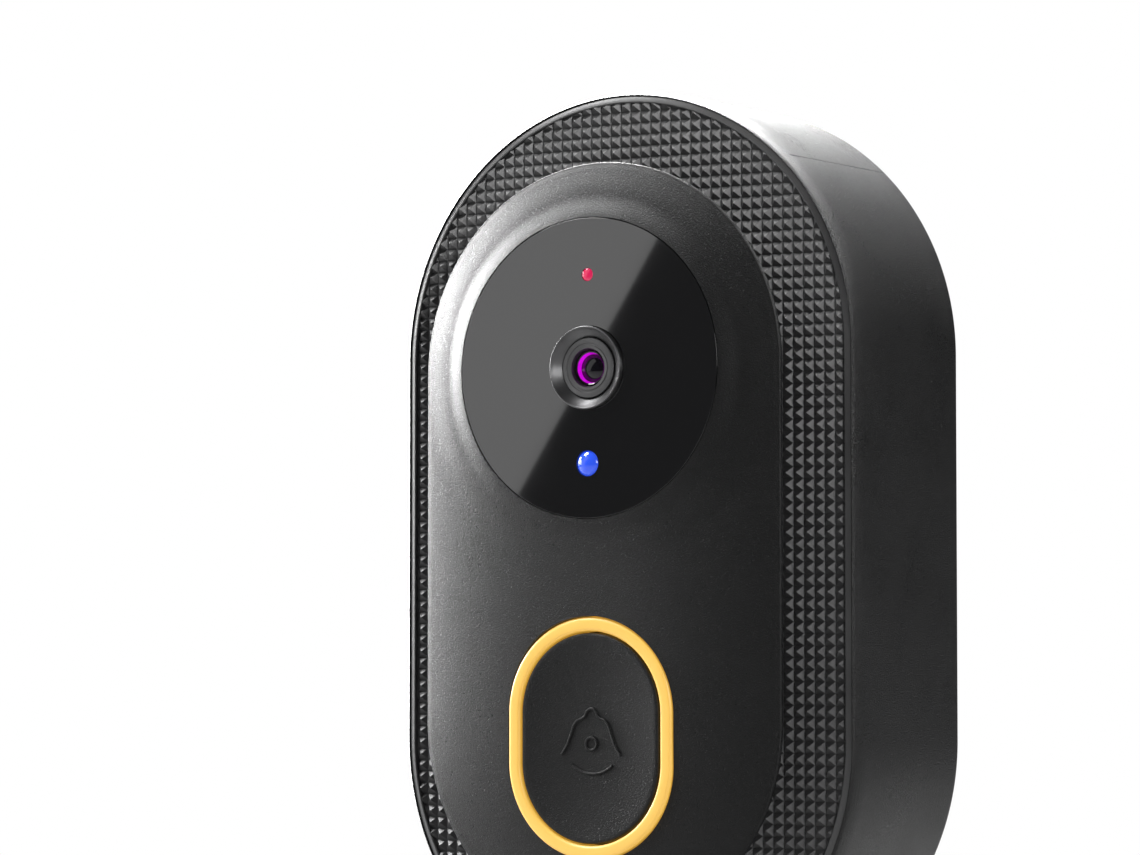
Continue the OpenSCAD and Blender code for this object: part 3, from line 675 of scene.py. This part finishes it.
def barrel_piece():
    """The barrel, with a shallow groove turned in its front face and a lip over the lens."""
    face, rear = WINDOW_D - 0.12, 25.5
    bore_r, edge_r, groove = 3.0, 0.15, 0.08
    lip_r, lip_back = 2.36, WINDOW_D - 0.12 - 1.0
    profile = [(bore_r, rear), (BARREL_R, rear)]
    profile += arc(BARREL_R - edge_r, face - edge_r, edge_r, 0, 90, 4)
    profile += [(3.2, face), (3.15, face - groove), (2.9, face - groove), (2.85, face), (2.5, face - 0.02),
                (lip_r, face - 0.5), (lip_r, lip_back), (bore_r, lip_back)]
    return lathe("barrel_ring", profile, WINDOW_Z, 160, sharp=30)


def lens_piece():
    """The front lens: a flange, a raised ring, the coated cone and the domed pupil at its foot."""
    base, front = -high("front_lens", 1), -low("front_lens", 1)
    flange_r, flange_front = 2.9, front - 0.62
    radius, drop, steps = 3.0, 1.05, 12
    profile = [(0, base), (flange_r, base), (flange_r, flange_front), (2.3, flange_front),
               (2.24, front - 0.3), (2.1, front - 0.24), (COAT_OUT, front - 0.3), (COAT_IN, front - drop)]
    pupil = [COAT_IN * (1 - i / steps) for i in range(1, steps + 1)]
    sag = sqrt(radius ** 2 - COAT_IN ** 2)
    profile += [(t, front - drop + sqrt(radius ** 2 - t * t) - sag) for t in pupil]
    return lathe("front_element", profile, WINDOW_Z, 128, closed=False, sharp=24)


LIGHT_FOOT = 1.8


def dome_piece():
    """The blue light pipe: a wider foot and a shallow round dome."""
    base, top = -high("indicator_dome", 1), -low("indicator_dome", 1)
    r, rise, foot_r = 1.6, 0.69, 2.0
    radius = (r * r + rise * rise) / (2 * rise)
    profile = [(0, base), (foot_r, base), (foot_r, base + LIGHT_FOOT), (r, base + LIGHT_FOOT + 0.1)]
    for angle in range(0, 91, 9):
        t = r * cos(radians(angle))
        profile.append((t, top - radius + sqrt(radius ** 2 - t * t)))
    return lathe("blue_dome", profile, middle("indicator_dome", 2), 72, closed=False, sharp=35)


def red_piece():
    """The small red light pipe, with a low crown."""
    base, top = -high("status_led", 1), -low("status_led", 1)
    r, rise, foot_r = 0.8, 0.22, 1.4
    profile = [(0, base), (foot_r, base), (foot_r, base + LIGHT_FOOT), (r, base + LIGHT_FOOT),
               (r, top - rise)]
    profile += [(r * cos(radians(a)), top - rise + rise * sin(radians(a))) for a in range(15, 91, 15)]
    return lathe("red_light", profile, middle("status_led", 2), 48, closed=False, sharp=35)


def ring_piece():
    """The light guide: a rounded band through the panel, with a flange behind it."""
    base = -high("light_ring", 1)
    inner, outer, edge = RING_R - RING_BAND, RING_R, 0.5
    profile = [(inner, base), (outer + RING_FLANGE, base), (outer + RING_FLANGE, SKIN_D), (outer, SKIN_D)]
    profile += arc(outer - edge, CROWN_D - edge, edge, 0, 90, 7)
    profile += arc(inner + edge, CROWN_D - edge, edge, 90, 180, 7)
    return sweep("glow_ring", profile, RING_C, RING_Z, arc_steps=160, side_steps=4, sharp=30)


DISH = 0.55
BUTTON_TOP = -low("button_cap", 1)
DISH_EDGE = BUTTON_R - 0.55
DISH_RADIUS = (DISH_EDGE ** 2 + DISH ** 2) / (2 * DISH)


def dish_depth(s):
    """Depth of the button's dish at a distance s from its spine."""
    s = min(s, DISH_EDGE)
    return BUTTON_TOP + DISH_RADIUS - DISH - sqrt(DISH_RADIUS ** 2 - s * s)


def button_piece():
    """The button: a dished top, a flange that the panel keeps in, and a post over the switch's plunger."""
    post_r, post_back = 2.6, -low("switch_plunger", 1) + 0.05
    hollow_r, hollow_d = 8.9, CROWN_D - 2.8
    flange_r, flange_back, flange_front = BUTTON_R + 0.7, CROWN_D - 4.1, CROWN_D - 3.3
    edge_r, steps = 0.3, 24
    profile = [(0.0, post_back), (post_r, post_back), (post_r, hollow_d), (hollow_r, hollow_d),
               (hollow_r, flange_back), (flange_r, flange_back), (flange_r, flange_front),
               (BUTTON_R, flange_front)]
    profile += arc(BUTTON_R - edge_r, BUTTON_TOP - edge_r, edge_r, 0, 80, 5)
    for i in range(steps + 1):
        s = DISH_EDGE * (1 - i / steps)
        profile.append((s, dish_depth(s)))
    return sweep("button_dish", profile, RING_C, RING_Z, closed=False, arc_steps=160, side_steps=24, sharp=30)


def raised_line(name, points, width):
    """A rounded bead along points given in millimetres from the button's middle."""
    curve = bpy.data.curves.new(name, "CURVE")
    curve.dimensions = "3D"
    curve.bevel_depth = width * MM / 2
    curve.bevel_resolution = 4
    curve.use_fill_caps = True
    spline = curve.splines.new("BEZIER")
    spline.bezier_points.add(len(points) - 1)
    for point, (x, z) in zip(spline.bezier_points, points):
        s = hypot(x, max(0.0, abs(z) - RING_C))
        point.co = (x * MM, -dish_depth(s) * MM, (RING_Z + z) * MM)
        point.handle_left_type = point.handle_right_type = "AUTO"
    obj = new_object(name, curve)
    bpy.context.view_layer.update()
    mesh = bpy.data.meshes.new_from_object(obj.evaluated_get(bpy.context.evaluated_depsgraph_get()))
    bpy.data.objects.remove(obj)
    return new_object(name, mesh)


def bell_piece():
    """A plain bell outline, raised from the dish: two flanks, a clapper and the lower rim's curve."""
    flank = [(0.7, 3.35), (0.95, 2.8), (2.3, 2.0), (3.05, 0.4), (3.6, -0.9), (4.4, -2.1)]
    dome = [(-x, z) for x, z in reversed(flank)] + [(0.0, 3.75)] + flank
    smile = [(-3.1, -3.3), (-1.6, -4.2), (0.0, -4.5), (1.6, -4.3), (3.1, -3.5)]
    clapper = arc(0.0, -0.7, 0.8, 0, 360, 12)
    lines = {"bell_dome": dome, "bell_smile": smile, "bell_clapper": clapper}
    return join("bell_outline", [raised_line(name, points, 0.42) for name, points in lines.items()])


def bevelled(node, width, name):
    """A copy of a CAD node's mesh with its hard edges broken by a small bevel."""
    obj = new_object(name, nodes[node].data.copy())
    clean(obj, 30)
    modifier = obj.modifiers.new("bevel", "BEVEL")
    modifier.width = width * MM
    modifier.segments = 2
    modifier.limit_method = "ANGLE"
    modifier.angle_limit = radians(40)
    modifier.use_clamp_overlap = True
    apply_modifiers(obj, 40)
    return obj


shell = housing_piece()
boolean(shell, flap_cutter())
boolean(shell, port_cutter())
for sign in (1, -1):
    boolean(shell, seam_cutter(sign))
PIECES = [
    (shell, "doorbell", "housing", "housing_plastic"),
    (texture_piece(), "doorbell", "texture_plate", "texture_plastic"),
    (panel_piece(), "doorbell", "front_panel", "panel_plastic"),
    (window_piece(), "doorbell", "camera_window", "window_glass"),
    (bezel_piece(), "doorbell", "lens_bezel", "bezel_metal"),
    (barrel_piece(), "doorbell", "lens_barrel", "barrel_metal"),
    (lens_piece(), "doorbell", "front_lens", "lens_glass"),
    (dome_piece(), "doorbell", "indicator_dome", "blue_led"),
    (red_piece(), "doorbell", "status_led", "red_led"),
    (ring_piece(), "doorbell", "light_ring", "light_guide"),
    (button_piece(), "button", "button_cap", "button_plastic"),
    (bevelled("wall_bracket", 0.3, "bracket_plate"), "bracket", "wall_bracket", "bracket_plastic"),
    (bevelled("rear_cover", 0.2, "rear_plate"), "doorbell", "rear_cover", "cover_plastic"),
]
for piece, body, node, slot in PIECES:
    place(piece, body, node, MATERIALS[slot])

# The membrane's wall folds as the button goes in, and the sprung catch bends off its groove as the
# doorbell is lifted. Here both are bevelled copies, each with a mesh of its own.
membrane = bevelled("button_membrane", 0.1, "membrane_wall")
place(membrane, "doorbell", "button_membrane", MATERIALS["silicone"])
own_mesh(membrane)
catch = bevelled("bracket_catch", 0.08, "catch_spring")
place(catch, "bracket", "bracket_catch", MATERIALS["steel"])
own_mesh(catch)

bell = bell_piece()
bell.data.materials.append(MATERIALS["button_plastic"])
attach(bell, "button")

SLOT_OF = {row["node"]: row["material_slot"] for row in frame["record"]["subparts"]}
for name, obj in nodes.items():
    obj.data.materials.clear()
    obj.data.materials.append(MATERIALS[SLOT_OF[name]])
    obj.data.shade_smooth()
    obj.data.set_sharp_from_angle(angle=radians(30))


# ---------------------------------------------------------------- stage, light and camera

def floor_piece():
    """A pale floor under the doorbell, which the camera sees as white and the doorbell sees as dark grey."""
    half, level = 0.6, low("housing", 2) * MM - 0.03
    seen_glow = 0.75
    corners = [(-half, -half, level), (half, -half, level), (half, half, level), (-half, half, level)]
    mesh = bpy.data.meshes.new("floor")
    mesh.from_pydata(corners, [], [(0, 1, 2, 3)])
    obj = new_object("floor", mesh)
    material, tree, bsdf = shader("floor_pale")
    coords = add(tree, "ShaderNodeTexCoord").outputs["Object"]
    pale = tint(tree, noise(tree, coords, 12.0), (0.8, 0.8, 0.8), (0.84, 0.84, 0.84))
    seen = add(tree, "ShaderNodeLightPath").outputs["Is Camera Ray"]
    tree.links.new(tint(tree, seen, (0.1, 0.1, 0.1), pale), bsdf.inputs["Base Color"])
    tree.links.new(calculate(tree, "MULTIPLY", seen, seen_glow), bsdf.inputs["Emission Strength"])
    bsdf.inputs["Emission Color"].default_value = (1, 1, 1, 1)
    bsdf.inputs["Roughness"].default_value = 0.9
    mesh.materials.append(material)


def direction(azimuth, elevation):
    """A unit vector towards this azimuth, which is 0 in front and grows to the right, and elevation."""
    a, e = radians(azimuth), radians(elevation)
    return Vector((sin(a) * cos(e), -cos(a) * cos(e), sin(e)))


def oriented(place_at, side, up, back):
    """The matrix of a light or camera at a place, from its own three axes."""
    return Matrix.Translation(place_at) @ Matrix((side, up, back)).transposed().to_4x4()


def softbox(name, azimuth, elevation, distance, width, height, radiance, roll=0.0, target=(0, -0.03, 0),
            shift=(0.0, 0.0)):
    """An area light of even brightness that faces the target. roll turns it, and shift slides it in its
    plane. Angles are in degrees, and sizes in metres."""
    away = direction(azimuth, elevation)
    side = Vector((0, 0, 1)).cross(away).normalized()
    up = away.cross(side)
    turn = Matrix.Rotation(radians(roll), 3, away)
    side, up = turn @ side, turn @ up
    light = bpy.data.lights.new(name, "AREA")
    light.shape = "RECTANGLE"
    light.size, light.size_y = width, height
    light.energy = radiance * pi * width * height
    place_at = Vector(target) + away * distance + side * shift[0] + up * shift[1]
    obj = new_object(name, light)
    obj.matrix_world = oriented(place_at, side, up, away)
    obj.visible_camera = False


def world_light():
    """White behind everything for the camera, and a dim even grey for the light on the doorbell."""
    world = bpy.data.worlds.new("studio")
    world.use_nodes = True
    tree = world.node_tree
    seen = add(tree, "ShaderNodeLightPath").outputs["Is Camera Ray"]
    sky = tint(tree, seen, (0.045, 0.045, 0.046), (1.0, 1.0, 1.0))
    tree.links.new(sky, tree.nodes["Background"].inputs["Color"])
    bpy.context.scene.world = world


def camera():
    """The view: 32 degrees round to the right, level with the button's upper half, tipped up a little."""
    azimuth, pitch = radians(32.37), radians(2.928)
    distance, side_shift, level = 560.12, 6.91, -13.3
    forward = Vector((-sin(azimuth), cos(azimuth), 0))
    right = Vector((cos(azimuth), sin(azimuth), 0))
    aim = Vector((0, -FACE_D, level))
    at = (aim - forward * distance - right * side_shift) * MM
    look = forward * cos(pitch) + Vector((0, 0, sin(pitch)))
    data = bpy.data.cameras.new("camera")
    data.sensor_width = 36.0
    data.lens = 137.37
    data.clip_start, data.clip_end = 0.01, 50.0
    obj = new_object("camera", data)
    obj.matrix_world = oriented(at, right, right.cross(look), -look)
    bpy.context.scene.camera = obj


floor_piece()
world_light()
WINDOW_AT = (0, -WINDOW_D * MM, WINDOW_Z * MM)
softbox("window_card", -32.45, 3.75, 0.8, 0.4, 1.6, 0.6, roll=-28.5, target=WINDOW_AT, shift=(-0.196, -0.2))
softbox("left_key", -75, 8, 0.7, 0.25, 0.25, 5.0)
softbox("left_rim", -95, 15, 0.7, 0.25, 0.25, 52.0)
softbox("left_high", -90, 57, 0.22, 0.08, 0.08, 12.0, target=(-0.01, -0.03, 0.04))
softbox("front_top", -62, 50, 0.7, 0.25, 0.25, 17.0)
softbox("top_rear", -140, 50, 0.7, 0.3, 0.3, 95.0)
softbox("rear_left", -134, 10, 0.7, 0.3, 0.6, 18.0)
softbox("rear_high", 180, 60, 0.7, 0.2, 0.2, 36.0)
softbox("right_high", 125, 50, 0.7, 0.2, 0.2, 24.0)
softbox("right_side", 90, 25, 0.7, 0.2, 0.2, 10.0)
softbox("right_front", 52, 12, 0.7, 0.2, 0.2, 7.0)
camera()
bpy.context.scene.view_settings.view_transform = "Standard"
